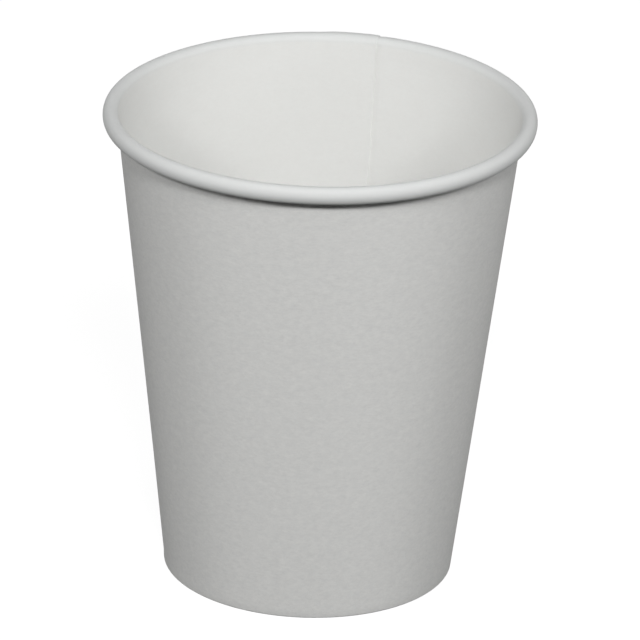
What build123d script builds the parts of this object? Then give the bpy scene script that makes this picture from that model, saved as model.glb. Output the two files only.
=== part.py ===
"""Plain paper hot cup: a wrapped, curled and hemmed sidewall and a base disc with a folded skirt.

Millimetres, +Z up. The origin is the centre of the ring the cup stands on. Angles run
counterclockwise from +X, and the side lap is at the back, a little towards +X.
Every section is drawn in a plane through the cup axis, with the radius as its x and the
height as its y. A distance across the board is called an offset: it is measured from the
mid surface of the single board, positive to the outside of the cup.
"""

import os
from math import acos, atan2, cos, degrees, hypot, radians, sin, tan

from build123d import *

os.makedirs("parts", exist_ok=True)

# Overall sizes
rim_diameter = 80.0
cup_height = 90.9
foot_diameter = 53.8

# Board of the sidewall and of the base
wall_board = 0.28
base_board = 0.26

# Rim curl, rolled outward and tucked in beside the wall, in even bends of the board. The roll
# is a little taller than wide, by a straight stretch down its outer side.
roll_diameter = 2.86
roll_side = 0.5
round_turn = 180.0
round_bends = 6
under_turn = 90.0
under_bends = 2
tuck_turn = 90.0
tuck_bends = 2
curl_gap = 0.05

# Side lap, with the free edge of the inner ply at its start
lap_start = 74.0
lap_width = 8.0
ramp_width = 1.4

# Hem folded in and up, with a narrow flat on the fold
hem_height = 6.6
fold_radius = 0.22
fold_bends = 2
channel_bends = 1

# Base disc, held between the wall and the hem
plate_height = 7.6
skirt_gap = 0.03
skirt_lift = 0.9
plate_corner = 0.8
corner_bends = 2

# Height over which the lap eases from the foot to the body, above the plate
ease_start = 0.7
ease_length = 2.6

# Derived sizes
half_board = wall_board / 2
curl_radius = (roll_diameter - wall_board) / 2
curl_centre = (rim_diameter / 2 - roll_diameter / 2, cup_height - roll_diameter / 2)
single_tuck = wall_board + curl_gap
double_tuck = 2 * wall_board + curl_gap
channel = wall_board + base_board + 2 * skirt_gap
ease_low = plate_height + ease_start
ease_high = ease_low + ease_length

# Slope of the wall, tangent to the curl and passing through the foot radius
foot_x = foot_diameter / 2 - half_board
run = curl_centre[0] - foot_x
slope = acos(curl_radius / hypot(run, curl_centre[1])) - atan2(curl_centre[1], run)
lean = degrees(slope)

# Directions in a section: across the wall both ways, straight down and down along the wall
outward = (cos(slope), -sin(slope))
inward = (-cos(slope), sin(slope))
down = (0.0, -1.0)
along = (-sin(slope), -cos(slope))

# Centre of the lower bends of the curl
under_centre = (curl_centre[0] + roll_side * along[0], curl_centre[1] + roll_side * along[1])

# Lap angles
lap_arc = degrees(lap_width / (rim_diameter / 2))
ramp_arc = degrees(ramp_width / (rim_diameter / 2))
lap_end = lap_start + lap_arc


def moved(point, direction, distance):
    """Return a section point moved by a distance along a unit direction."""
    return (point[0] + distance * direction[0], point[1] + distance * direction[1])


def turned(direction, angle):
    """Return a section direction turned clockwise by an angle in degrees."""
    a = radians(angle)
    x, y = direction
    return (x * cos(a) + y * sin(a), y * cos(a) - x * sin(a))


def bends(centre, radius, start, turn, count):
    """Return the corners of an even bend round a centre, clockwise from a direction."""
    return [moved(centre, turned(start, turn * i / count), radius) for i in range(count + 1)]


def wall_point(offset, height):
    """Return the point of the straight wall at an offset and a height."""
    return (foot_x + offset / cos(slope) + height * tan(slope), height)


def axial_plane(angle):
    """Return the plane through the cup axis at an angle."""
    a = radians(angle)
    return Plane(origin=(0, 0, 0), x_dir=(cos(a), sin(a), 0), z_dir=(sin(a), -cos(a), 0))


def face_runs(foot_offset, body_offset, fold_level, tuck, corner_count):
    """Return one face of the board in three runs: foot, easing stretch and body.

    The foot runs down the hem, round the fold and up the wall to above the base plate. The
    body runs up the wall and round the curl to the raw edge inside it.
    """
    # Fold round two small centres, with a flat between them
    fold_z = fold_level + fold_radius
    outer = (foot_x + fold_z * tan(slope) - fold_radius / cos(slope), fold_z)
    inner = (outer[0] - (channel - 2 * fold_radius) / cos(slope), fold_z)
    reach = fold_radius + foot_offset
    hem_middle = (foot_x - channel / cos(slope) + hem_height * tan(slope), hem_height)
    foot = [
        moved(hem_middle, inward, foot_offset),
        *bends(inner, reach, inward, -90.0 - lean, corner_count),
        *bends(outer, reach, down, lean - 90.0, corner_count),
        wall_point(foot_offset, ease_low),
    ]
    ease = [wall_point(foot_offset, ease_low), wall_point(body_offset, ease_high)]

    # Curl over the top, down its side and under, then a tighter bend that brings the raw edge
    # in beside the wall
    wide = curl_radius - body_offset
    tight = wide - tuck
    under_start = turned(inward, round_turn)
    tuck_start = turned(under_start, under_turn)
    tuck_centre = moved(under_centre, tuck_start, tuck)
    body = [
        wall_point(body_offset, ease_high),
        *bends(curl_centre, wide, inward, round_turn, round_bends),
        *bends(under_centre, wide, under_start, under_turn, under_bends),
        *bends(tuck_centre, tight, tuck_start, tuck_turn, tuck_bends)[1:],
    ]
    return foot, ease, body


def board_section(angle, state, runs=(0, 1, 2)):
    """Return the cut face of the board in the axial plane at an angle.

    The state holds the spans of offsets at the foot and in the body, the level of the fold
    and the tuck of the curl. Fewer runs give the section of a part of the height.
    """
    foot_span, body_span, fold_level, tuck = state
    inside = face_runs(foot_span[0], body_span[0], fold_level, tuck, channel_bends)
    outside = face_runs(foot_span[1], body_span[1], fold_level, tuck, fold_bends)
    there = [inside[runs[0]][0]] + [point for i in runs for point in inside[i][1:]]
    back = [outside[runs[0]][0]] + [point for i in runs for point in outside[i][1:]]
    with BuildLine(axial_plane(angle)) as outline:
        Polyline(*there, *reversed(back), close=True)
    return make_face(outline.line)


# Board states: foot offsets, body offsets, level of the fold's mid surface and tuck of the curl
single = (-half_board, half_board)
raised = half_board + wall_board
plain_board = (single, single, half_board, single_tuck)
both_plies = ((-half_board, raised), (-wall_board, wall_board), raised, double_tuck)
outer_ply = ((half_board, raised), (0.0, wall_board), raised, double_tuck)
inner_ply = (single, (-wall_board, 0.0), raised, double_tuck)

# Sections of the board, in the order they come round the cup. Beside the lap, one board
# eases over to one ply of the two, and this is drawn run by run.
climb = [
    [
        board_section(lap_start - ramp_arc, plain_board, [i]),
        board_section(lap_start, outer_ply, [i]),
    ]
    for i in range(3)
]
double = board_section(lap_start, both_plies)
settle = [
    [
        board_section(lap_end, inner_ply, [i]),
        board_section(lap_end + ramp_arc, plain_board, [i]),
    ]
    for i in range(3)
]
plain = board_section(lap_end + ramp_arc, plain_board)

# Sidewall
with BuildPart() as sidewall:
    # Single board all round but the lap
    revolve(plain, axis=Axis.Z, revolution_arc=360.0 - lap_arc - 2 * ramp_arc)
    # Outer ply climbing over the inner one
    for pair in climb:
        loft(pair, ruled=True)
    # Both plies
    revolve(double, axis=Axis.Z, revolution_arc=lap_arc)
    # Inner ply settling back into the single board
    for pair in settle:
        loft(pair, ruled=True)
sidewall.part.label = "sidewall"
export_step(sidewall.part, "parts/sidewall.step")

# Base disc
skirt_offset = -(half_board + skirt_gap)
corner_z = plate_height - plate_corner
corner_x = wall_point(skirt_offset, corner_z)[0] - plate_corner / cos(slope)
corner = (corner_x, corner_z)
corner_turn = -90.0 - lean
skirt_foot = wall_point(skirt_offset, skirt_lift)

with BuildPart() as base_disc:
    with BuildSketch(Plane.XZ):
        with BuildLine():
            Polyline(
                (0, plate_height - base_board),
                (0, plate_height),
                *reversed(bends(corner, plate_corner, outward, corner_turn, corner_bends)),
                skirt_foot,
                moved(skirt_foot, inward, base_board),
                *bends(corner, plate_corner - base_board, outward, corner_turn, corner_bends),
                close=True,
            )
        make_face()
    revolve(axis=Axis.Z)
base_disc.part.label = "base_disc"
export_step(base_disc.part, "parts/base_disc.step")
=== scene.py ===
"""Plain paper hot cup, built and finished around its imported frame.

Metres, +Z up. The origin is the centre of the ring the cup stands on, angles run counterclockwise
from +X, and the side lap is at the back, a little towards +X. A section lies in a plane through
the cup axis, with the radius first and the height second. A distance across the board is called an
offset: it is measured from the mid surface of the single board, positive to the outside of the cup.
"""

import logging
import math
from dataclasses import dataclass, field
from enum import Enum
from typing import Any

import bpy
import numpy as np
from mathutils import Matrix, Vector


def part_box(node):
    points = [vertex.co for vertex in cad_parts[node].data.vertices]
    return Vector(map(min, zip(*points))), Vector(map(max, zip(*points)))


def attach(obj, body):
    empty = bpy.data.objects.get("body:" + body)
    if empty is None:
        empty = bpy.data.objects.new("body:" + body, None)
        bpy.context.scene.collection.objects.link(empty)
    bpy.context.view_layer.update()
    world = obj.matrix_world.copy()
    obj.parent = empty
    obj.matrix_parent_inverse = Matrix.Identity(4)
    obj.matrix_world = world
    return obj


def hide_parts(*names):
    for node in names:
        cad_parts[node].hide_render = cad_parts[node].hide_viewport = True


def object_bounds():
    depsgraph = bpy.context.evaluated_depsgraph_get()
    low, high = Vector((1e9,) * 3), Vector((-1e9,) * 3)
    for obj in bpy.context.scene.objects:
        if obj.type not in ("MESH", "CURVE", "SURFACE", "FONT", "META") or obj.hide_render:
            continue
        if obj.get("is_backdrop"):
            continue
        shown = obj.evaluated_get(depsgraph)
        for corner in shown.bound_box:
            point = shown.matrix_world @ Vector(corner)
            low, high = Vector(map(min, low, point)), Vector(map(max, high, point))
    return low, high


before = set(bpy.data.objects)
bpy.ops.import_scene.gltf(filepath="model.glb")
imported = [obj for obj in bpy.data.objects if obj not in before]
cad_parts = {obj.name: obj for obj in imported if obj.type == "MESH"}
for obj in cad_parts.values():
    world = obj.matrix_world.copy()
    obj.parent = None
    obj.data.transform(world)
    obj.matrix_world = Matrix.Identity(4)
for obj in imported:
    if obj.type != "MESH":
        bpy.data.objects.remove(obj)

MM = 0.001
Row = tuple[np.ndarray, np.ndarray]
LOG = logging.getLogger("paper_cup")


class Face(Enum):
    """Faces of the board, in the order of a piece's material slots."""

    LINED = 0
    UNCOATED = 1
    CUT = 2


class Run(Enum):
    """Stretches of the wall's board, from the hem's raw edge to the one inside the rim roll."""

    HEM = "hem"
    INNER_FOLD = "inner fold"
    OUTER_FOLD = "outer fold"
    WALL = "wall"
    ROLL = "roll"
    TUCK = "tuck"


class Wire:
    """One socket of a shader tree. Arithmetic on it adds Math nodes."""

    def __init__(self, tree: "ShaderTree", socket: bpy.types.NodeSocket) -> None:
        """Keep the tree and its socket.

        Args:
            tree: The tree that the socket belongs to.
            socket: An output socket of one of its nodes.
        """
        self.tree = tree
        self.socket = socket

    def _math(self, operation: str, first: Any, second: Any) -> "Wire":
        """Add one Math node.

        Args:
            operation: Blender's name for the operation.
            first: A Wire or a number.
            second: A Wire or a number.

        Returns:
            The node's result.
        """
        return self.tree.node("ShaderNodeMath", {"operation": operation}, {0: first, 1: second})

    def __add__(self, other: Any) -> "Wire":
        """Return self + other."""
        return self._math("ADD", self, other)

    __radd__ = __add__

    def __mul__(self, other: Any) -> "Wire":
        """Return self * other."""
        return self._math("MULTIPLY", self, other)

    __rmul__ = __mul__

    def __sub__(self, other: Any) -> "Wire":
        """Return self - other."""
        return self._math("SUBTRACT", self, other)

    def __rsub__(self, other: Any) -> "Wire":
        """Return other - self."""
        return self._math("SUBTRACT", other, self)


class ShaderTree:
    """Adds and links the nodes of one material or of the world."""

    def __init__(self, owner: bpy.types.ID) -> None:
        """Turn the owner's nodes on and clear them.

        Args:
            owner: The material or world.
        """
        owner.use_nodes = True
        self.tree = owner.node_tree
        self.tree.nodes.clear()

    def node(self, kind: str, settings: dict[str, Any], sockets: dict[Any, Any], output: Any = 0) -> Wire:
        """Add any node.

        Args:
            kind: The node's type.
            settings: Its own properties, which are set first.
            sockets: A number, a tuple or a Wire for each input, by name or index.
            output: The output that is returned, by name or index.

        Returns:
            That output.
        """
        made = self.tree.nodes.new(kind)
        for name, value in settings.items():
            setattr(made, name, value)
        for key, value in sockets.items():
            if isinstance(value, Wire):
                self.tree.links.new(value.socket, made.inputs[key])
            else:
                made.inputs[key].default_value = value
        return Wire(self, made.outputs[output]) if made.outputs else Wire(self, None)

    def blend(self, share: Any, low: Any, high: Any) -> Wire:
        """Mix two colours.

        Args:
            share: How much of the second, from 0 to 1.
            low: A colour or a Wire.
            high: A colour or a Wire.

        Returns:
            The mixed colour.
        """
        return self.node("ShaderNodeMix", {"data_type": "RGBA"}, {0: share, 6: low, 7: high}, 2)

    def seen_directly(self) -> Wire:
        """Return 1 for rays that show a surface or the world as a backdrop, and 0 for its light."""
        found = [
            self.node("ShaderNodeLightPath", {}, {}, name)
            for name in ("Is Camera Ray", "Is Glossy Ray", "Is Transmission Ray")
        ]
        return found[0] + found[1] + found[2]

    def finish(self, shader: Wire, kind: str = "ShaderNodeOutputMaterial") -> None:
        """Link a shader to the output node.

        Args:
            shader: The finished surface.
            kind: The output node's type.
        """
        self.node(kind, {}, {"Surface": shader})


@dataclass(frozen=True)
class BoardFinish:
    """Finish of one face of the board, with the fibre laid along the sheet.

    Three noises make its grain: wide clouds, fibres and, finer than those, specks. A depth is how
    much a noise darkens and lightens the colour, and a length how many times longer its grain is
    along the sheet than across. The relief is the height of the fibres in the bump. From the roll's
    start on up the sheet, the colour goes over to a darker, cooler copy of the board's colour: painted
    shade and a painted cool reflection on the rim roll.
    """

    name: str
    colour: tuple[float, float, float]
    cloud_tint: tuple[float, float, float]
    cloud_size: float
    cloud_depth: float
    fibre_size: float
    fibre_length: float
    fibre_depth: float
    roughness: float
    roughness_spread: float
    specular: float
    relief: float
    # painted shade and a painted cool reflection: a darker, cooler copy of the colour on the rim roll,
    # blended in from the roll's start
    roll_painted_shade_colour: tuple[float, float, float] | None = None
    roll_shade_start: float = 96.2 * MM
    roll_shade_blend: float = 0.9 * MM
    cloud_length: float = 1.3
    speck_length: float = 1.5
    speck_fineness: float = 2.5
    speck_share: float = 0.6
    speck_relief: float = 0.5
    grain_roughness: float = 0.55

    @staticmethod
    def swing(noise: Wire, depth: float) -> Wire:
        """Return a noise that swings about zero, over a depth."""
        return (noise - 0.5) * depth

    @staticmethod
    def sheet(tree: ShaderTree) -> Wire:
        """Return the place on the flat sheet: round the cup, up the sheet and which face."""
        return tree.node("ShaderNodeAttribute", {"attribute_name": "sheet"}, {}, "Vector")

    def texture(self, tree: ShaderTree, size: float, length: float, detail: float) -> Wire:
        """Add a noise in the sheet's own coordinates.

        Args:
            tree: The material's tree.
            size: Height of a grain across the fibre.
            length: How many times longer it is along the fibre.
            detail: Octaves of finer grain.

        Returns:
            The noise, about 0.5 on average.
        """
        stretch = (1 / (size * length), 1 / size, 1 / size)
        sheet = self.sheet(tree)
        placed = tree.node("ShaderNodeVectorMath", {"operation": "MULTIPLY"}, {0: sheet, 1: stretch})
        return tree.node(
            "ShaderNodeTexNoise",
            {},
            {"Vector": placed, "Scale": 1.0, "Detail": detail, "Roughness": self.grain_roughness},
        )

    def tint_and_roll_shade(self, tree: ShaderTree, cloud: Wire) -> Wire:
        """Add the sheet's colour, with painted shade and a painted cool reflection on the rim roll, where
        it goes over to a darker, cooler copy.

        Args:
            tree: The material's tree.
            cloud: The noise that moves the colour to its cloud tint.

        Returns:
            The colour.
        """
        tint = tree.blend(cloud, (*self.colour, 1.0), (*self.cloud_tint, 1.0))
        if self.roll_painted_shade_colour is None:
            return tint
        # painted shade and a painted cool reflection: the colour darkens and cools from the roll's start on
        # up
        height = tree.node("ShaderNodeSeparateXYZ", {}, {0: self.sheet(tree)}, "Y")
        share = (height - self.roll_shade_start) * (1 / self.roll_shade_blend)
        roll_shade_share = tree.node("ShaderNodeClamp", {}, {"Value": share})
        return tree.blend(roll_shade_share, tint, (*self.roll_painted_shade_colour, 1.0))

    def material(self) -> bpy.types.Material:
        """Return the finished material."""
        made = bpy.data.materials.new(self.name)
        tree = ShaderTree(made)
        cloud = self.texture(tree, self.cloud_size, self.cloud_length, detail=2.0)
        fibre = self.texture(tree, self.fibre_size, self.fibre_length, detail=3.0)
        speck = self.texture(tree, self.fibre_size / self.speck_fineness, self.speck_length, detail=1.0)
        shade = 1.0 + self.swing(cloud, self.cloud_depth) + self.swing(fibre, self.fibre_depth)
        shade = shade + self.swing(speck, self.speck_share * self.fibre_depth)
        tint = self.tint_and_roll_shade(tree, cloud)
        grey = tree.node("ShaderNodeCombineColor", {}, {0: shade, 1: shade, 2: shade})
        colour = tree.node(
            "ShaderNodeMix", {"data_type": "RGBA", "blend_type": "MULTIPLY"}, {0: 1.0, 6: tint, 7: grey}, 2
        )
        height = fibre + speck * self.speck_relief
        bump = tree.node("ShaderNodeBump", {}, {"Strength": 1.0, "Distance": self.relief, "Height": height})
        surface = tree.node(
            "ShaderNodeBsdfPrincipled",
            {},
            {
                "Base Color": colour,
                "Roughness": self.roughness + self.swing(cloud, self.roughness_spread),
                "Specular IOR Level": self.specular,
                "Normal": bump,
            },
        )
        tree.finish(surface)
        return made


FINISHES = {
    Face.LINED: BoardFinish(
        name="lined_board",
        colour=(0.844, 0.844, 0.824),
        cloud_tint=(0.838, 0.842, 0.824),
        cloud_size=2.4 * MM,
        cloud_depth=0.03,
        fibre_size=0.7 * MM,
        fibre_length=1.4,
        fibre_depth=0.04,
        roughness=0.62,
        roughness_spread=0.10,
        specular=0.12,
        relief=0.004 * MM,
        # painted shade and a painted cool reflection on the rim roll
        roll_painted_shade_colour=(0.808, 0.820, 0.811),
    ),
    Face.UNCOATED: BoardFinish(
        name="uncoated_board",
        colour=(0.856, 0.859, 0.845),
        cloud_tint=(0.861, 0.861, 0.838),
        cloud_size=1.3 * MM,
        cloud_depth=0.105,
        fibre_size=0.42 * MM,
        fibre_length=2.0,
        fibre_depth=0.16,
        roughness=0.82,
        roughness_spread=0.08,
        specular=0.2,
        relief=0.012 * MM,
    ),
    Face.CUT: BoardFinish(
        name="cut_edge",
        colour=(0.83, 0.825, 0.795),
        cloud_tint=(0.86, 0.855, 0.83),
        cloud_size=0.4 * MM,
        cloud_depth=0.08,
        fibre_size=0.09 * MM,
        fibre_length=3.0,
        fibre_depth=0.15,
        roughness=0.92,
        roughness_spread=0.04,
        specular=0.15,
        relief=0.02 * MM,
    ),
}


def smooth(share: Any) -> Any:
    """Return an even S curve of a share, which is held between 0 and 1."""
    held = np.clip(share, 0.0, 1.0)
    return held * held * (3 - 2 * held)


def clockwise(direction: tuple[float, float], angle: float) -> tuple[float, float]:
    """Turn a section direction.

    Args:
        direction: Its radius and height.
        angle: Degrees, clockwise.

    Returns:
        The turned direction.
    """
    a = math.radians(angle)
    x, y = direction
    return (x * math.cos(a) + y * math.sin(a), y * math.cos(a) - x * math.sin(a))


@dataclass(frozen=True)
class SheetGrid:
    """A grid of points on a piece: rows along the section and columns round the cup.

    Each point has a place on the flat sheet, and each band between two rows a face of the board.
    An edge that is bent by more than sharp_angle degrees stays sharp.
    """

    points: np.ndarray
    sheet: np.ndarray
    faces: np.ndarray
    closed_rows: bool
    sharp_angle: float = 48.0

    def mesh(self, name: str) -> bpy.types.Mesh:
        """Make a closed mesh of the grid.

        Args:
            name: The mesh's name.

        Returns:
            The mesh, smooth but for its raw edges, with its sheet coordinates.
        """
        rows, columns = self.points.shape[:2]
        bands = rows if self.closed_rows else rows - 1
        row = np.arange(bands)[:, None]
        column = np.arange(columns)[None, :]
        after = (row + 1) % rows
        beside = (column + 1) % columns
        corners = (row, column), (row, beside), (after, beside), (after, column)
        quads = np.stack([r * columns + c for r, c in corners], -1).reshape(-1, 4)
        polygons = [tuple(q) for q in quads.tolist()]
        sides = np.repeat(self.faces[:bands], columns).tolist()
        points = self.points.reshape(-1, 3)
        sheet = self.sheet.reshape(-1, 3)
        if not self.closed_rows:
            for end in (0, rows - 1):
                ring = [end * columns + c for c in range(columns)]
                centre = len(points)
                points = np.vstack([points, self.points[end].mean(0)])
                sheet = np.vstack([sheet, self.sheet[end].mean(0)])
                for a, b in zip(ring, ring[1:] + ring[:1]):
                    polygons.append((centre, b, a) if end == 0 else (centre, a, b))
                    sides.append(int(self.faces[min(end, bands - 1)]))
        made = bpy.data.meshes.new(name)
        made.from_pydata(points.tolist(), [], polygons)
        made.polygons.foreach_set("material_index", sides)
        made.polygons.foreach_set("use_smooth", [True] * len(polygons))
        stored = made.attributes.new("sheet", "FLOAT_VECTOR", "POINT")
        stored.data.foreach_set("vector", sheet.astype(np.float32).ravel())
        made.update()
        made.set_sharp_from_angle(angle=math.radians(self.sharp_angle))
        return made


@dataclass(frozen=True)
class WallLine:
    """Section of the wall's board as far as both pieces share it.

    The roll is round, but its centre moves down by roll_side between the two side_turns, which are
    degrees of its turn, so that it is taller than wide.
    """

    rim_diameter: float = 80.0 * MM
    cup_height: float = 90.9 * MM
    foot_diameter: float = 53.8 * MM
    board: float = 0.28 * MM
    roll_diameter: float = 2.86 * MM
    roll_side: float = 0.50 * MM
    side_turns: tuple[float, float] = (110.0, 250.0)

    @property
    def half(self) -> float:
        """Half the board's thickness."""
        return self.board / 2

    @property
    def curl_radius(self) -> float:
        """Radius of the board's mid line in the rim roll."""
        return (self.roll_diameter - self.board) / 2

    @property
    def curl_centre(self) -> tuple[float, float]:
        """Centre of the rim roll in the section."""
        roll = self.roll_diameter / 2
        return (self.rim_diameter / 2 - roll, self.cup_height - roll)

    @property
    def foot_radius(self) -> float:
        """Radius of the mid surface at the height of the foot."""
        return self.foot_diameter / 2 - self.half

    @property
    def slope(self) -> float:
        """Lean of the wall from upright in radians, where it runs into the roll."""
        x, z = self.curl_centre
        run = x - self.foot_radius
        return math.acos(self.curl_radius / math.hypot(run, z)) - math.atan2(z, run)

    @property
    def outward(self) -> tuple[float, float]:
        """Direction across the wall, to the outside."""
        return (math.cos(self.slope), -math.sin(self.slope))

    @property
    def inward(self) -> tuple[float, float]:
        """Direction across the wall, to the inside."""
        return (-math.cos(self.slope), math.sin(self.slope))

    def roll_centre(self, turn: float) -> tuple[float, float]:
        """Give the centre that the board turns round, which moves down as it comes over the roll.

        Args:
            turn: Degrees from where the wall runs into the roll.

        Returns:
            Its radius and height.
        """
        start, end = self.side_turns
        drop = self.roll_side * float(smooth((turn - start) / (end - start)))
        x, z = self.curl_centre
        return (x - drop * math.sin(self.slope), z - drop * math.cos(self.slope))

    def at(self, height: Any, offset: float = 0.0) -> Any:
        """Give the wall's radius.

        Args:
            height: Height above the foot.
            offset: Offset of the surface.

        Returns:
            Its radius there.
        """
        return self.foot_radius + offset / math.cos(self.slope) + height * math.tan(self.slope)


@dataclass(frozen=True)
class Columns:
    """State of the board at each column round the cup.

    The offsets of its two faces are given for the wall and the foot, and for the inside of the
    roll. The level is the height of the fold's mid surface, lifted says how far the column is from
    one ply to two, and the turned angles measure the sheet round the cup on its two faces.
    """

    angle: np.ndarray
    wall_in: np.ndarray
    wall_out: np.ndarray
    foot_in: np.ndarray
    foot_out: np.ndarray
    level: np.ndarray
    lifted: np.ndarray
    roll_in: np.ndarray
    turned_in: np.ndarray
    turned_out: np.ndarray


@dataclass
class Sidewall:
    """The wrapped sheet of board: hem, fold, wall, lap and rim roll in one piece.

    The inner ply of the lap ends at lap_start and the outer one at the lap's other side. Each of
    lap_edge's pairs is a share of edge_round and the share of the board's thickness that the raw
    edge has risen there. The three free angles keep the even columns off the close ones at the
    lap. Swells, waves, tilt, oval and flare are the small unevenness of a real cup: a swell has its
    order, height and angle, and a wave its order, its phase and its turn on the way up.
    """

    line: WallLine = field(default_factory=WallLine)
    round_turn: float = 270.0
    tuck_turn: float = 90.0
    curl_gap: float = 0.05 * MM
    lap_start: float = 74.0
    lap_width: float = 8.0 * MM
    ramp_width: float = 1.4 * MM
    settle_width: float = 4.0 * MM
    edge_round: float = 0.30 * MM
    edge_bulge: float = 0.03 * MM
    edge_rows: tuple[float, ...] = (0.25, 0.75)
    lap_edge: tuple[tuple[float, float], ...] = (
        (0.008, 0.45),
        (0.06, 0.68),
        (0.18, 0.84),
        (0.4, 0.94),
        (0.7, 0.985),
        (1.0, 1.0),
    )
    free_after_edge: float = 0.6
    free_before_edge: float = 0.4
    free_at_ramp: float = 0.3
    hem_height: float = 6.6 * MM
    fold_radius: float = 0.22 * MM
    base_board: float = 0.26 * MM
    skirt_gap: float = 0.03 * MM
    plate_height: float = 7.6 * MM
    ease_start: float = 0.7 * MM
    ease_length: float = 2.6 * MM
    column_step: float = 0.75
    ramp_columns: int = 12
    foot_density: float = 0.65
    rib_count: int = 120
    rib_depth: float = 0.07 * MM
    rib_top: float = 5.7 * MM
    rib_foot: float = 1.2 * MM
    rib_fade: float = 0.5 * MM
    rim_tilt: float = 0.0061
    rim_swells: tuple[tuple[int, float, float], ...] = ((2, 0.114 * MM, 63.0), (3, 0.035 * MM, -26.0))
    rim_oval: float = 0.0019
    oval_angle: float = -36.0
    flare: float = 0.1 * MM
    flare_height: float = 1.6 * MM
    flare_angle: float = 188.0
    flare_spread: float = 38.0
    flare_fade: float = 0.4 * MM
    wave_depth: float = 0.09 * MM
    waves: tuple[tuple[int, float, float], ...] = (
        (3, 0.4, 1.3),
        (5, 2.1, -2.2),
        (8, 4.0, 3.1),
        (13, 1.2, -4.0),
    )
    calm_foot: float = 0.3
    calm_rim: float = 0.2
    roll_crush: float = 0.5
    grain_depths: tuple[float, float] = (0.0, 9.0 * MM)

    @property
    def channel(self) -> float:
        """Distance between the mid surfaces of the wall and the hem."""
        return self.line.board + self.base_board + 2 * self.skirt_gap

    @property
    def lap_arc(self) -> float:
        """Angle of the lap in degrees."""
        return math.degrees(self.lap_width / (self.line.rim_diameter / 2))

    @property
    def ramp_arc(self) -> float:
        """Angle in degrees over which one board eases over to one ply of two."""
        return math.degrees(self.ramp_width / (self.line.rim_diameter / 2))

    @property
    def settle_arc(self) -> float:
        """Angle in degrees over which the inner ply settles back into the single board."""
        return math.degrees(self.settle_width / (self.line.rim_diameter / 2))

    def stations(self) -> list[tuple[Run, float]]:
        """Return the places along the board, each a stretch and a share of it."""
        counts = {
            Run.HEM: 8,
            Run.INNER_FOLD: 5,
            Run.OUTER_FOLD: 5,
            Run.WALL: 24,
            Run.ROLL: 36,
            Run.TUCK: 6,
        }
        found = []
        for run, count in counts.items():
            first = 0 if run in (Run.HEM, Run.INNER_FOLD, Run.OUTER_FOLD) else 1
            found += [(run, i / count) for i in range(first, count + 1)]
        return [s for s in found if s != (Run.HEM, 1.0)]

    def mid(self, run: Run, share: float, level: np.ndarray, lifted: np.ndarray) -> tuple[Any, Any, Any]:
        """Give the mid line of the board at one station, for every column.

        Args:
            run: The stretch.
            share: The share of it, from the hem's edge on.
            level: Height of the fold's mid surface in each column.
            lifted: 1 where the roll holds two plies, and 0 where it holds one.

        Returns:
            The radius and the height in each column, and the direction across the board.
        """
        line = self.line
        lean = math.degrees(line.slope)
        fold_z = level + self.fold_radius
        outer = line.at(fold_z) - self.fold_radius / math.cos(line.slope)
        inner = outer - (self.channel - 2 * self.fold_radius) / math.cos(line.slope)
        if run is Run.HEM:
            across = line.inward
            top_r = line.at(self.hem_height) - self.channel / math.cos(line.slope)
            low_r = inner + self.fold_radius * across[0]
            low_z = fold_z + self.fold_radius * across[1]
            radius = top_r + share * (low_r - top_r)
            return radius, self.hem_height + share * (low_z - self.hem_height), across
        if run is Run.INNER_FOLD:
            across = clockwise(line.inward, -(90.0 + lean) * share)
            return inner + self.fold_radius * across[0], fold_z + self.fold_radius * across[1], across
        if run is Run.OUTER_FOLD:
            across = clockwise((0.0, -1.0), -(90.0 - lean) * share)
            return outer + self.fold_radius * across[0], fold_z + self.fold_radius * across[1], across
        if run is Run.WALL:
            low = fold_z + self.fold_radius * line.outward[1]
            high = line.curl_centre[1] + line.curl_radius * line.inward[1]
            height = low + self.wall_share(share) * (high - low)
            return line.at(height), height, line.outward
        start = clockwise(line.inward, self.round_turn)
        if run is Run.ROLL:
            centre = line.roll_centre(self.round_turn * share)
            way = clockwise(line.inward, self.round_turn * share)
            radius = line.curl_radius
            tuck = 0.0 * lifted
        else:
            centre = line.roll_centre(self.round_turn)
            way = clockwise(start, self.tuck_turn * share)
            tuck = line.board * (1 + lifted) + self.curl_gap
            radius = line.curl_radius - tuck
        r = centre[0] + tuck * start[0] + radius * way[0]
        z = centre[1] + tuck * start[1] + radius * way[1]
        return r, z, (-way[0], -way[1])

    def wall_share(self, share: float) -> float:
        """Return the share of the wall's height at an even share of its rows, denser at the foot."""
        return (1 - self.foot_density) * share + self.foot_density * share * share

    def turns(self) -> tuple[np.ndarray, int, int]:
        """Place the columns round the cup, close together at the lap.

        Returns:
            Their angles past the lap's start in degrees, the first column over the inner ply, and
            the one at the outer ply's edge.
        """
        per_metre = math.degrees(1.0 / (self.line.rim_diameter / 2))
        lap, ramp, after, step = self.lap_arc, self.ramp_arc, self.settle_arc, self.column_step
        close = [self.edge_round * per_metre * reach for reach, _ in self.lap_edge]
        turns = [-ramp * (1 - i / self.ramp_columns) for i in range(self.ramp_columns)]
        turns += [0.0] + close
        inner_step = len(turns) - len(close)
        middle = np.arange(close[-1] + self.free_after_edge, lap - close[-1] - self.free_before_edge, step)
        turns += middle.tolist() + [lap - c for c in reversed(close)] + [lap]
        outer_step = len(turns) - 1
        turns += [lap + after * (i + 1) / self.ramp_columns for i in range(self.ramp_columns)]
        phase = self.lap_start % step
        first = math.ceil((turns[-1] + self.free_at_ramp + phase) / step) * step - phase
        turns += np.arange(first, 360.0 - ramp - self.free_at_ramp, step).tolist()
        return np.array(turns), inner_step, outer_step

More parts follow.
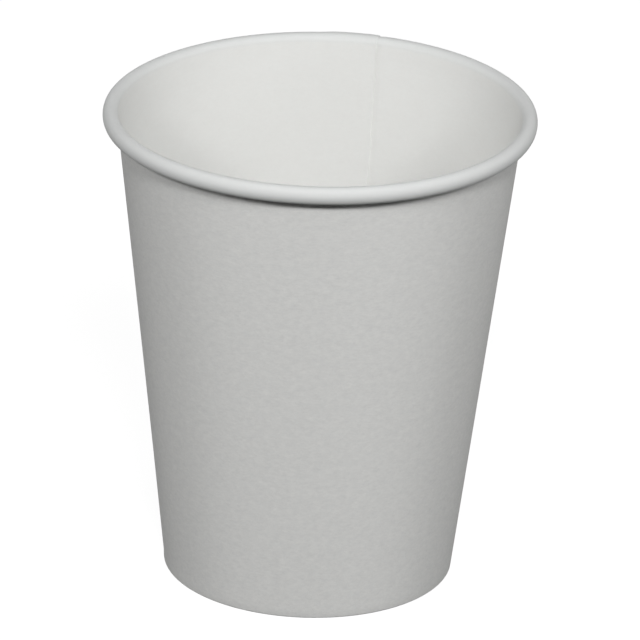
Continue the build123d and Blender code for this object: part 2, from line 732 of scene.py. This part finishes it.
    def columns(self) -> Columns:
        """Return the board's state round the cup."""
        half = self.line.half
        lap, ramp, after = self.lap_arc, self.ramp_arc, self.settle_arc
        a, inner_step, outer_step = self.turns()
        climb = smooth((a + ramp) / ramp) * (a <= 0)
        two = (a > 0) & (a < lap)
        settle = np.where(a >= lap, 1 - smooth((a - lap) / after), 0.0)
        wall_in = -half + half * climb - half * two - half * settle
        wall_out = half + half * climb + half * two - half * settle
        foot_in = -half + 2 * half * climb
        foot_out = half + 2 * half * climb + 2 * half * two
        raised = np.where(two, 1.0, climb + settle)
        # each raw edge reaches its full thickness a little way into the lap
        for i, (_, share) in enumerate(self.lap_edge):
            wall_in[inner_step + i] = -2 * half * share
            foot_in[inner_step + i] = half - 2 * half * share
            wall_out[outer_step - 1 - i] = 2 * half * share
            foot_out[outer_step - 1 - i] = half + 2 * half * share
        # outside, the sheet runs on past its full turn to the end of the outer ply
        whole = np.where(a < 0, a + 360.0, a)
        over = np.where(np.arange(len(a)) < outer_step, whole + np.where(a > 0, 360.0, 0.0), a)
        over = np.where(a == 0.0, 360.0, over)
        return Columns(
            angle=np.radians(a + self.lap_start),
            wall_in=wall_in,
            wall_out=wall_out,
            foot_in=foot_in,
            foot_out=foot_out,
            level=half + 2 * half * raised,
            lifted=raised,
            roll_in=wall_in - self.roll_crush * half * climb,
            turned_in=np.radians(np.where(a == 0.0, 360.0, whole)),
            turned_out=np.radians(over),
        )

    def ribs(self, height: np.ndarray, angle: np.ndarray) -> np.ndarray:
        """Give the pressed ribs of the hem.

        Args:
            height: Heights on the hem.
            angle: Angles of the columns.

        Returns:
            How deep the board is pressed in.
        """
        above_foot = smooth((height - self.rib_foot) / self.rib_fade)
        below_top = smooth((self.rib_top - height) / self.rib_fade)
        return self.rib_depth * above_foot * below_top * (0.5 + 0.5 * np.cos(self.rib_count * angle))

    def settled(self, r: np.ndarray, z: np.ndarray, angle: np.ndarray) -> np.ndarray:
        """Place section points round the cup, with the small unevenness of a real one.

        Args:
            r: Radii, one row a station.
            z: Heights.
            angle: Angles of the columns.

        Returns:
            The points, with x, y and z in the last place.
        """
        share = np.clip(z / self.line.cup_height, 0.0, 1.0)
        wave = sum(np.sin(order * angle + at + turn * share) / order for order, at, turn in self.waves)
        away = np.angle(np.exp(1j * (angle - math.radians(self.flare_angle))))
        spread = np.exp(-((away / math.radians(self.flare_spread)) ** 2))
        low = 1 - smooth(z / self.flare_height)
        at_fold = smooth((r - (self.line.foot_radius - self.channel)) / self.flare_fade)
        free = smooth(share / self.calm_foot) * smooth((1.0 - share) / self.calm_rim)
        r = r + self.wave_depth * wave * free
        r = r + self.flare * spread * low * at_fold
        r = r * (1 + self.rim_oval * share * share * np.cos(2 * (angle - math.radians(self.oval_angle))))
        x, y = r * np.cos(angle), r * np.sin(angle)
        rise = self.rim_tilt * x + sum(
            height * np.cos(order * (angle - math.radians(at))) for order, height, at in self.rim_swells
        )
        return np.stack([x, y, z + rise * share * share], -1)

    def both_faces(self, columns: Columns) -> tuple[list[Row], list[Row]]:
        """Lay the two faces of the board along its stations.

        Args:
            columns: The board's state round the cup.

        Returns:
            The rows of the lined face, from the hem's edge on, and those of the uncoated one.
        """
        ease_low = self.plate_height + self.ease_start
        lined: list[Row] = []
        bare: list[Row] = []
        for run, share in self.stations():
            r, z, across = self.mid(run, share, columns.level, columns.lifted)
            r, z = np.broadcast_arrays(r + 0 * columns.angle, z + 0 * columns.angle)
            body = smooth((z - ease_low) / self.ease_length)
            if run in (Run.HEM, Run.INNER_FOLD, Run.OUTER_FOLD):
                body = 0 * z
            wall_in = columns.roll_in if run in (Run.ROLL, Run.TUCK) else columns.wall_in
            low = columns.foot_in + body * (wall_in - columns.foot_in)
            high = columns.foot_out + body * (columns.wall_out - columns.foot_out)
            if run is Run.HEM:
                high = high - self.ribs(z, columns.angle)
            lined.append((r + low * across[0], z + low * across[1]))
            bare.append((r + high * across[0], z + high * across[1]))
        return lined, bare

    def sheet_places(self, lined: list[Row], columns: Columns) -> np.ndarray:
        """Give every point its place on the flat sheet.

        Args:
            lined: The rows of the lined face, whose length along the board both faces take.
            columns: The board's state round the cup.

        Returns:
            Places round the cup, along the board and in depth, which keeps the faces' grain apart.
        """
        radii, heights = [r.mean() for r, _ in lined], [z.mean() for _, z in lined]
        path = np.concatenate([[0.0], np.cumsum(np.hypot(np.diff(radii), np.diff(heights)))])
        edge = len(self.edge_rows)
        along = np.concatenate([path, [path[-1]] * edge, path[::-1], [path[0]] * edge])
        on_lined = np.arange(len(along)) < len(lined) + 1
        turned = np.where(on_lined[:, None], columns.turned_in[None, :], columns.turned_out[None, :])
        arc = self.line.foot_radius + 0.5 * (self.line.rim_diameter / 2 - self.line.foot_radius)
        depth = np.where(on_lined, *self.grain_depths)
        return np.stack(np.broadcast_arrays(turned * arc, along[:, None], depth[:, None]), -1)

    def grid(self) -> SheetGrid:
        """Return the whole sheet as a grid closed both ways."""
        columns = self.columns()
        lined, bare = self.both_faces(columns)
        rows = lined + self.raw_edge(lined, bare) + bare[::-1] + self.raw_edge(bare[::-1], lined[::-1])
        cut = [Face.CUT] * (len(self.edge_rows) + 1)
        sides = [Face.LINED] * (len(lined) - 1) + cut + [Face.UNCOATED] * (len(bare) - 1) + cut
        r, z = np.array([row[0] for row in rows]), np.array([row[1] for row in rows])
        return SheetGrid(
            points=self.settled(r, z, columns.angle[None, :]),
            sheet=self.sheet_places(lined, columns),
            faces=np.array([side.value for side in sides]),
            closed_rows=True,
        )

    def raw_edge(self, near: list[Row], far: list[Row]) -> list[Row]:
        """Round a raw edge of the board a little.

        Args:
            near: The rows of one face, ending at the edge.
            far: The rows of the other face, also ending at the edge.

        Returns:
            The rows between them, one at each share of the thickness in edge_rows.
        """
        (r0, z0), (r1, z1) = near[-1], far[-1]
        before_r, before_z = near[-2]
        length = np.hypot(r0 - before_r, z0 - before_z)
        out_r, out_z = (r0 - before_r) / length, (z0 - before_z) / length
        bulge_r, bulge_z = self.edge_bulge * out_r, self.edge_bulge * out_z
        return [
            (r0 + share * (r1 - r0) + bulge_r, z0 + share * (z1 - z0) + bulge_z) for share in self.edge_rows
        ]

    def build(self) -> bpy.types.Object:
        """Make the piece, dress it and set it on its body.

        Returns:
            The piece.
        """
        mesh = self.grid().mesh("wrapped_sidewall")
        return place("wrapped_sidewall", mesh, "sidewall")


@dataclass
class BaseDisc:
    """The round disc of board whose edge is folded down as a skirt.

    The plate's rows are at shares of its flat radius, and the skirt's at their heights. What is
    above plate_low is plate, and dishes.
    """

    wall: Sidewall = field(default_factory=Sidewall)
    skirt_lift: float = 0.9 * MM
    plate_corner: float = 0.8 * MM
    column_count: int = 240
    dish: float = 0.12 * MM
    plate_low: float = 6.5 * MM
    corner_bends: int = 8
    plate_rows: tuple[float, ...] = (0.02, 0.12, 0.3, 0.5, 0.7, 0.85, 0.95)
    skirt_rows: tuple[float, ...] = (5.0 * MM, 3.0 * MM)
    grain_depths: tuple[float, float] = (20.0 * MM, 29.0 * MM)

    def profile(self) -> tuple[list[tuple[float, float]], int]:
        """Trace the section from the axis over the plate, down the skirt and back.

        Returns:
            The points, and how many of them are on the top face.
        """
        line, board = self.wall.line, self.wall.base_board
        offset = -(line.half + self.wall.skirt_gap)
        top = self.wall.plate_height
        centre_z = top - self.plate_corner
        centre = (line.at(centre_z, offset) - self.plate_corner / math.cos(line.slope), centre_z)
        turn = 90.0 + math.degrees(line.slope)
        foot = (line.at(self.skirt_lift, offset), self.skirt_lift)
        ways = [clockwise((0.0, 1.0), turn * i / self.corner_bends) for i in range(self.corner_bends + 1)]

        def corner(radius: float) -> list[tuple[float, float]]:
            """Return the corner's points at a radius, from the plate to the skirt."""
            return [(centre[0] + radius * x, centre[1] + radius * z) for x, z in ways]

        above = [(centre[0] * share, top) for share in self.plate_rows] + corner(self.plate_corner)
        above += [(line.at(z, offset), z) for z in self.skirt_rows] + [foot]
        below = [(foot[0] + board * line.inward[0], foot[1] + board * line.inward[1])]
        below += [(line.at(z, offset) + board * line.inward[0], z) for z in self.skirt_rows[::-1]]
        below += corner(self.plate_corner - board)[::-1]
        below += [(centre[0] * share, top - board) for share in self.plate_rows[::-1]]
        return above + below, len(above)

    def grid(self) -> SheetGrid:
        """Return the disc as a grid with a centre point on each face."""
        outline, above = self.profile()
        r = np.array([p[0] for p in outline])
        z = np.array([p[1] for p in outline])
        reach = np.concatenate([[r[0]], np.hypot(np.diff(r), np.diff(z))]).cumsum()
        on_top = np.arange(len(r)) < above
        back = np.where(on_top, reach, reach[above - 1] - (reach - reach[above]))
        angle = np.radians(np.arange(self.column_count) * 360.0 / self.column_count)
        plate = np.clip(r / r[above - 1], 0.0, 1.0)
        height = z - self.dish * np.cos(plate * math.pi / 2) ** 2 * (z > self.plate_low)
        cos, sin = np.cos(angle)[None, :], np.sin(angle)[None, :]
        depth = np.where(on_top, *self.grain_depths)
        sheet = np.broadcast_arrays(back[:, None] * cos, back[:, None] * sin, depth[:, None])
        points = np.broadcast_arrays(r[:, None] * cos, r[:, None] * sin, height[:, None])
        sides = [Face.LINED] * (above - 1) + [Face.CUT] + [Face.UNCOATED] * (len(r) - above - 1)
        return SheetGrid(
            points=np.stack(points, -1),
            sheet=np.stack(sheet, -1),
            faces=np.array([side.value for side in sides]),
            closed_rows=False,
        )

    def build(self) -> bpy.types.Object:
        """Make the piece, dress it and set it on its body.

        Returns:
            The piece.
        """
        mesh = self.grid().mesh("skirted_base")
        return place("skirted_base", mesh, "base_disc")


def place(name: str, mesh: bpy.types.Mesh, node: str) -> bpy.types.Object:
    """Link a finished mesh into the scene in place of a frame node.

    Args:
        name: The piece's name.
        mesh: Its mesh.
        node: The frame node that it stands for.

    Returns:
        The piece.
    """
    piece = bpy.data.objects.new(name, mesh)
    bpy.context.scene.collection.objects.link(piece)
    for side in Face:
        mesh.materials.append(bpy.data.materials.get(FINISHES[side].name) or FINISHES[side].material())
    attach(piece, "root")
    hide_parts(node)
    low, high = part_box(node)
    LOG.info("%s: %d faces, frame box %s to %s", name, len(mesh.polygons), tuple(low), tuple(high))
    return piece


@dataclass(frozen=True)
class Lamp:
    """One soft round lamp, aimed at the cup."""

    name: str
    azimuth: float
    elevation: float
    distance: float
    size: float
    strength: float

    def build(self, aim: Vector) -> bpy.types.Object:
        """Hang the lamp.

        Args:
            aim: The point it faces, which gets its strength of light.

        Returns:
            The lamp.
        """
        e, a = math.radians(self.elevation), math.radians(self.azimuth)
        way = Vector((math.sin(a) * math.cos(e), -math.cos(a) * math.cos(e), math.sin(e)))
        data = bpy.data.lights.new(self.name, "AREA")
        data.shape = "DISK"
        data.size = self.size
        data.energy = self.strength * (math.pi * self.distance) ** 2
        lamp = bpy.data.objects.new(self.name, data)
        lamp.location = aim + way * self.distance
        lamp.rotation_mode = "QUATERNION"
        lamp.rotation_quaternion = (-way).to_track_quat("-Z", "Y")
        lamp.visible_camera = False
        bpy.context.scene.collection.objects.link(lamp)
        return lamp


LAMPS = (
    Lamp("left_key", azimuth=-30.0, elevation=34.0, distance=1.3, size=0.24, strength=0.262),
    Lamp("front_key", azimuth=4.0, elevation=39.0, distance=1.3, size=0.24, strength=0.346),
    Lamp("right_key", azimuth=35.0, elevation=34.0, distance=1.3, size=0.24, strength=0.226),
    Lamp("left_side", azimuth=-84.0, elevation=24.0, distance=1.5, size=0.8, strength=0.161),
    Lamp("right_side", azimuth=82.0, elevation=24.0, distance=1.5, size=0.8, strength=0.183),
    Lamp("back_fill", azimuth=176.0, elevation=7.0, distance=1.5, size=0.8, strength=0.13),
)


def grey(level: float) -> tuple[float, float, float, float]:
    """Return a grey of full alpha."""
    return (level, level, level, 1.0)


@dataclass
class Studio:
    """Pale floor, white surround and plain soft lamps."""

    floor_radius: float = 3.0
    floor_corners: int = 96
    floor_drop: float = 0.02 * MM
    floor_colour: float = 0.05
    floor_shadow: float = 0.22
    floor_glow: float = 0.92

    def floor(self) -> bpy.types.Object:
        """Make the floor: white to the eye but for the soft shadow, and pale to the light."""
        mesh = bpy.data.meshes.new("floor")
        radius, count = self.floor_radius, self.floor_corners
        ring = [2 * math.pi * i / count for i in range(count)]
        points = [(radius * math.cos(a), radius * math.sin(a), -self.floor_drop) for a in ring]
        mesh.from_pydata(points, [], [tuple(range(count))])
        floor = bpy.data.objects.new("floor", mesh)
        bpy.context.scene.collection.objects.link(floor)
        paint = bpy.data.materials.new("floor")
        tree = ShaderTree(paint)
        pale = tree.node("ShaderNodeBsdfDiffuse", {}, {"Color": grey(self.floor_colour)})
        veil = tree.node("ShaderNodeBsdfDiffuse", {}, {"Color": grey(self.floor_shadow)})
        glow = tree.node("ShaderNodeEmission", {}, {"Color": grey(1.0), "Strength": self.floor_glow})
        seen = tree.node("ShaderNodeAddShader", {}, {0: veil, 1: glow})
        direct = tree.seen_directly()
        lit = tree.node("ShaderNodeMixShader", {}, {0: direct, 1: pale, 2: seen})
        clear = tree.node("ShaderNodeBsdfTransparent", {}, {})
        under = tree.node("ShaderNodeNewGeometry", {}, {}, "Backfacing")
        tree.finish(tree.node("ShaderNodeMixShader", {}, {0: under, 1: lit, 2: clear}))
        mesh.materials.append(paint)
        floor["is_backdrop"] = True
        return floor

    def surround(self) -> None:
        """Make the world: white to the eye, and dark to the light."""
        world = bpy.data.worlds.new("surround")
        bpy.context.scene.world = world
        tree = ShaderTree(world)
        dark = tree.node("ShaderNodeBackground", {}, {"Color": grey(1.0), "Strength": 0.0})
        white = tree.node("ShaderNodeBackground", {}, {"Color": grey(1.0), "Strength": 1.0})
        direct = tree.seen_directly()
        mixed = tree.node("ShaderNodeMixShader", {}, {0: direct, 1: dark, 2: white})
        tree.finish(mixed, "ShaderNodeOutputWorld")

    def build(self, middle: Vector) -> None:
        """Make the floor, the surround and the lamps.

        Args:
            middle: The middle of the cup, which the lamps face.
        """
        self.floor()
        self.surround()
        for lamp in LAMPS:
            lamp.build(middle)


@dataclass
class PhotoCamera:
    """Camera at the photograph's angle, for a square picture."""

    picture_width: float = 640.0
    focal_pixels: float = 8000.0
    sensor: float = 36.0
    elevation: float = 24.81
    distance: float = 1506.2 * MM
    roll: float = 1.666
    aim: tuple[float, float, float] = (1.050 * MM, 0.0, 48.60 * MM)

    def build(self) -> bpy.types.Object:
        """Make the camera and give it to the scene.

        Returns:
            The camera.
        """
        e, roll = math.radians(self.elevation), math.radians(self.roll)
        position = Vector((0.0, -math.cos(e), math.sin(e))) * self.distance
        forward = (Vector(self.aim) - position).normalized()
        right = forward.cross(Vector((0.0, 0.0, 1.0))).normalized()
        up = right.cross(forward)
        across = math.cos(roll) * right + math.sin(roll) * up
        upward = math.cos(roll) * up - math.sin(roll) * right
        data = bpy.data.cameras.new("photo_camera")
        data.sensor_width = self.sensor
        data.lens = self.focal_pixels * self.sensor / self.picture_width
        camera = bpy.data.objects.new("photo_camera", data)
        turned = Matrix((across, upward, -forward)).transposed()
        camera.matrix_world = Matrix.Translation(position) @ turned.to_4x4()
        bpy.context.scene.collection.objects.link(camera)
        bpy.context.scene.camera = camera
        return camera


def main() -> None:
    """Build the cup, its studio and the camera; each piece notes its frame box."""
    logging.basicConfig(level=logging.INFO, format="%(name)s: %(message)s")
    frame_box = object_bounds()
    middle = (frame_box[0] + frame_box[1]) / 2
    PhotoCamera().build()
    wall = Sidewall()
    pieces = [wall.build(), BaseDisc(wall=wall).build()]
    Studio().build(middle)
    bpy.context.scene.view_settings.view_transform = "Standard"
    bpy.context.view_layer.update()


if __name__ == "__main__":
    main()
